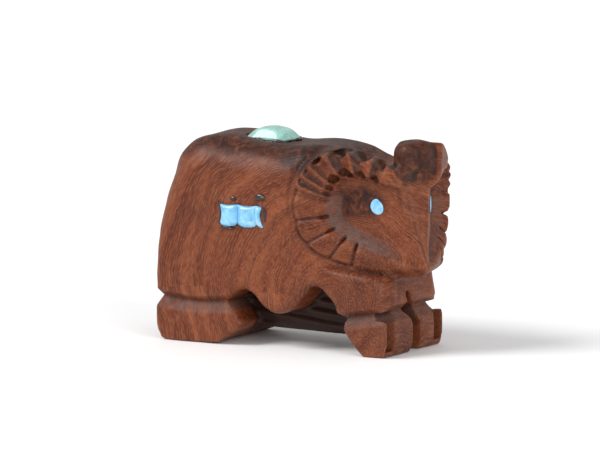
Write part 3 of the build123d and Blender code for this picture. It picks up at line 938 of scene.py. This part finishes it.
def glue_bead_tree():
    """A bead that follows a closed line, thick and thin by turns."""
    tree, sizes = shape_tree("glue_bead", Radius=0.0003, Unevenness=0.6, Patch=0.004, Seed=3.0, Glue=None)
    entry = tree.nodes["Group Input"].outputs["Geometry"]
    spot = tree.nodes.new("GeometryNodeInputPosition").outputs[0]
    swell = shader_node(
        tree, "ShaderNodeTexNoise",
        {"Vector": spot, "W": sizes["Seed"], "Scale": math(tree, "DIVIDE", 1.0, sizes["Patch"]),
         "Detail": 1.0},
        noise_dimensions="4D",
    ).outputs["Fac"]
    swell = math(tree, "MULTIPLY", math(tree, "SUBTRACT", swell, 0.5), sizes["Unevenness"])
    thickness = math(tree, "MULTIPLY", sizes["Radius"], math(tree, "MULTIPLY_ADD", swell, 3.0, 1.0))
    profile = shader_node(
        tree, "GeometryNodeCurvePrimitiveCircle", {"Resolution": 10, "Radius": 1.0}
    ).outputs[0]
    tube = shader_node(
        tree, "GeometryNodeCurveToMesh",
        {"Curve": shader_node(
            tree, "GeometryNodeSetCurveRadius", {"Curve": entry, "Radius": thickness}).outputs[0],
         "Profile Curve": profile},
    )
    if "Scale" in tube.inputs:
        tree.links.new(thickness, tube.inputs["Scale"])
    end_tree(tree, tube.outputs[0], sizes["Glue"])
    return tree


def closed_line(name, points):
    """A closed line through points in millimetres."""
    line = bpy.data.curves.new(name, "CURVE")
    line.dimensions = "3D"
    spline = line.splines.new("POLY")
    spline.points.add(len(points) - 1)
    spline.points.foreach_set("co", np.column_stack([np.array(points) * MM, np.ones(len(points))]).ravel())
    spline.use_cyclic_u = True
    return bpy.data.objects.new(name, line)


def drop(place, size):
    """A flattened drop of glue at a place, with its half-sizes."""
    turn = np.arange(20) / 20 * 2 * pi
    rings = []
    for lift in np.linspace(-0.48, 0.48, 11) * pi:
        ring = np.column_stack([cos(lift) * np.cos(turn), cos(lift) * np.sin(turn), np.full(20, sin(lift))])
        rings.append(ring * size + np.array(place))
    return ringed_solid("drop", rings)


def merged(meshes, name):
    """Several meshes as one piece."""
    points, faces, start = [], [], 0
    for mesh in meshes:
        points.append(points_of(mesh))
        faces += [tuple(start + v for v in face.vertices) for face in mesh.polygons]
        start += len(mesh.vertices)
    whole = bpy.data.meshes.new(name)
    whole.from_pydata(np.concatenate(points).tolist(), [], faces)
    whole.materials.append(glue)
    whole.shade_smooth()
    return whole


glue = glue_gloss()
glue_bead = glue_bead_tree()
thin_bead, thick_bead = 0.2, 0.34


def bead_along(points, radius, unevenness, patch):
    """A glue bead round a closed line of points in millimetres."""
    return grown(
        closed_line("bead", points), glue_bead,
        Radius=radius * MM, Unevenness=unevenness, Patch=patch * MM, Glue=glue,
    )


for name, side in sides.items():
    # Round the flank stone, just where its edge leaves the wood
    low, high = stone_box(f"{name}_flank_stone")
    middle = (low + high) / 2
    line = bar_rims[name].copy()
    line[:, 1] = side * (half_width - 0.1)
    bead = bead_along(line, thin_bead, 0.6, 3.2)
    drops = [
        drop((middle[0] + 4.6, side * half_width, high[2] + 1.4), (1.3, 0.40, 0.75)),
        drop((middle[0] - 2.0, side * half_width, high[2] + 0.75), (0.8, 0.28, 0.4)),
        drop((high[0] + 0.25, side * (half_width - 0.1), middle[2] + 0.6), (0.4, 0.4, 1.9)),
        drop((middle[0] - 3.4, side * (half_width - 0.1), low[2] - 0.2), (1.9, 0.35, 0.4)),
    ]
    finished(merged([bead, *drops], f"{name}_flank_squeeze_out"), f"{name}_flank_squeeze_out",
             f"{name}_flank_glue")

    # Round the eye
    low, high = stone_box(f"{name}_eye")
    look = np.array([cos(eye_look[name]), sin(eye_look[name]), 0.0])
    level = np.array([-look[1], look[0], 0.0])
    turns = np.arange(60) / 60 * 2 * pi
    rim = (low + high) / 2 + look * 0.42
    line = rim + (eye_radius + 0.08) * (np.outer(np.cos(turns), level) + np.outer(np.sin(turns), (0, 0, 1)))
    bead = bead_along(line, thin_bead, 0.8, 2.0)
    piece_name = f"{name}_eye_squeeze_out"
    finished(merged([bead], piece_name), piece_name, f"{name}_eye_glue")

low, high = stone_box("back_stone")
seam_height = low[2] + 0.85
line = [
    (stone_middle[0] + stone_shift + u, stone_middle[1] + v, seam_height) for u, v in stone_plan * 1.01
]
bead = bead_along(line, thick_bead, 0.8, 3.0)
drops = [drop((stone_middle[0] + 0.5, low[1] - 0.3, low[2] + 0.65), (4.3, 0.7, 0.4))]
finished(merged([bead, *drops], "back_squeeze_out"), "back_squeeze_out", "back_stone_glue")

# ------------------------------------------------------------------------------ Table and light
# The ram stands on a plain white table that runs out of sight, under wide soft lights: the main
# one above and to its rear right, a weaker one in front.


def table_top():
    material, tree, shader, place = new_material("table_top")
    shade = noise(tree, place, 0.02, 2.0).outputs["Fac"]
    tree.links.new(colour_ramp(tree, shade, (0.3, (0.93, 0.93, 0.93)), (0.7, (0.95, 0.95, 0.95))),
                   shader.inputs["Base Color"])
    shader.inputs["Roughness"].default_value = 0.6
    return material


table_half = 8.0
table_mesh = bpy.data.meshes.new("table")
table_mesh.from_pydata(
    [(-table_half, -table_half, 0), (table_half, -table_half, 0), (table_half, table_half, 0),
     (-table_half, table_half, 0)], [], [(0, 1, 2, 3)]
)
table_mesh.materials.append(table_top())
table = bpy.data.objects.new("table", table_mesh)
bpy.context.scene.collection.objects.link(table)

box_low, box_high = (np.array(corner) for corner in cad_box)
middle = (box_low + box_high) / 2


def facing(way):
    return Vector(way).to_track_quat("-Z", "Y").to_euler()


def soft_light(name, source, strength, spread):
    """A wide, even light that comes from the direction of the source."""
    lamp = bpy.data.lights.new(name, "SUN")
    lamp.energy, lamp.angle = strength, radians(spread)
    holder = bpy.data.objects.new(name, lamp)
    holder.rotation_euler = facing([-part for part in source])
    bpy.context.scene.collection.objects.link(holder)


soft_light("main_light", (-0.50, -0.52, 0.69), 2.4, 30)
soft_light("front_light", (0.85, -0.50, 0.40), 1.3, 40)
world = bpy.data.worlds.new("studio")
world.use_nodes = True
world.node_tree.nodes["Background"].inputs["Color"].default_value = (1, 1, 1, 1)
world.node_tree.nodes["Background"].inputs["Strength"].default_value = 0.58
bpy.context.scene.world = world
bpy.context.scene.view_settings.view_transform = "Standard"

# The camera looks along the right flank from ahead, a little from above
camera_turn, camera_rise, camera_distance, camera_lens = radians(30), radians(8.0), 1.6, 448.0
aim_left, aim_up = 2.75 * MM, 0.5 * MM
screen_right = np.array([cos(camera_turn), sin(camera_turn), 0])
towards_camera = np.array([
    sin(camera_turn) * cos(camera_rise), -cos(camera_turn) * cos(camera_rise), sin(camera_rise)
])
camera = bpy.data.objects.new("camera", bpy.data.cameras.new("camera"))
camera.data.lens = camera_lens
camera.location = middle - screen_right * aim_left + (0, 0, aim_up) + towards_camera * camera_distance
camera.rotation_euler = facing(-towards_camera)
bpy.context.scene.collection.objects.link(camera)
bpy.context.scene.camera = camera
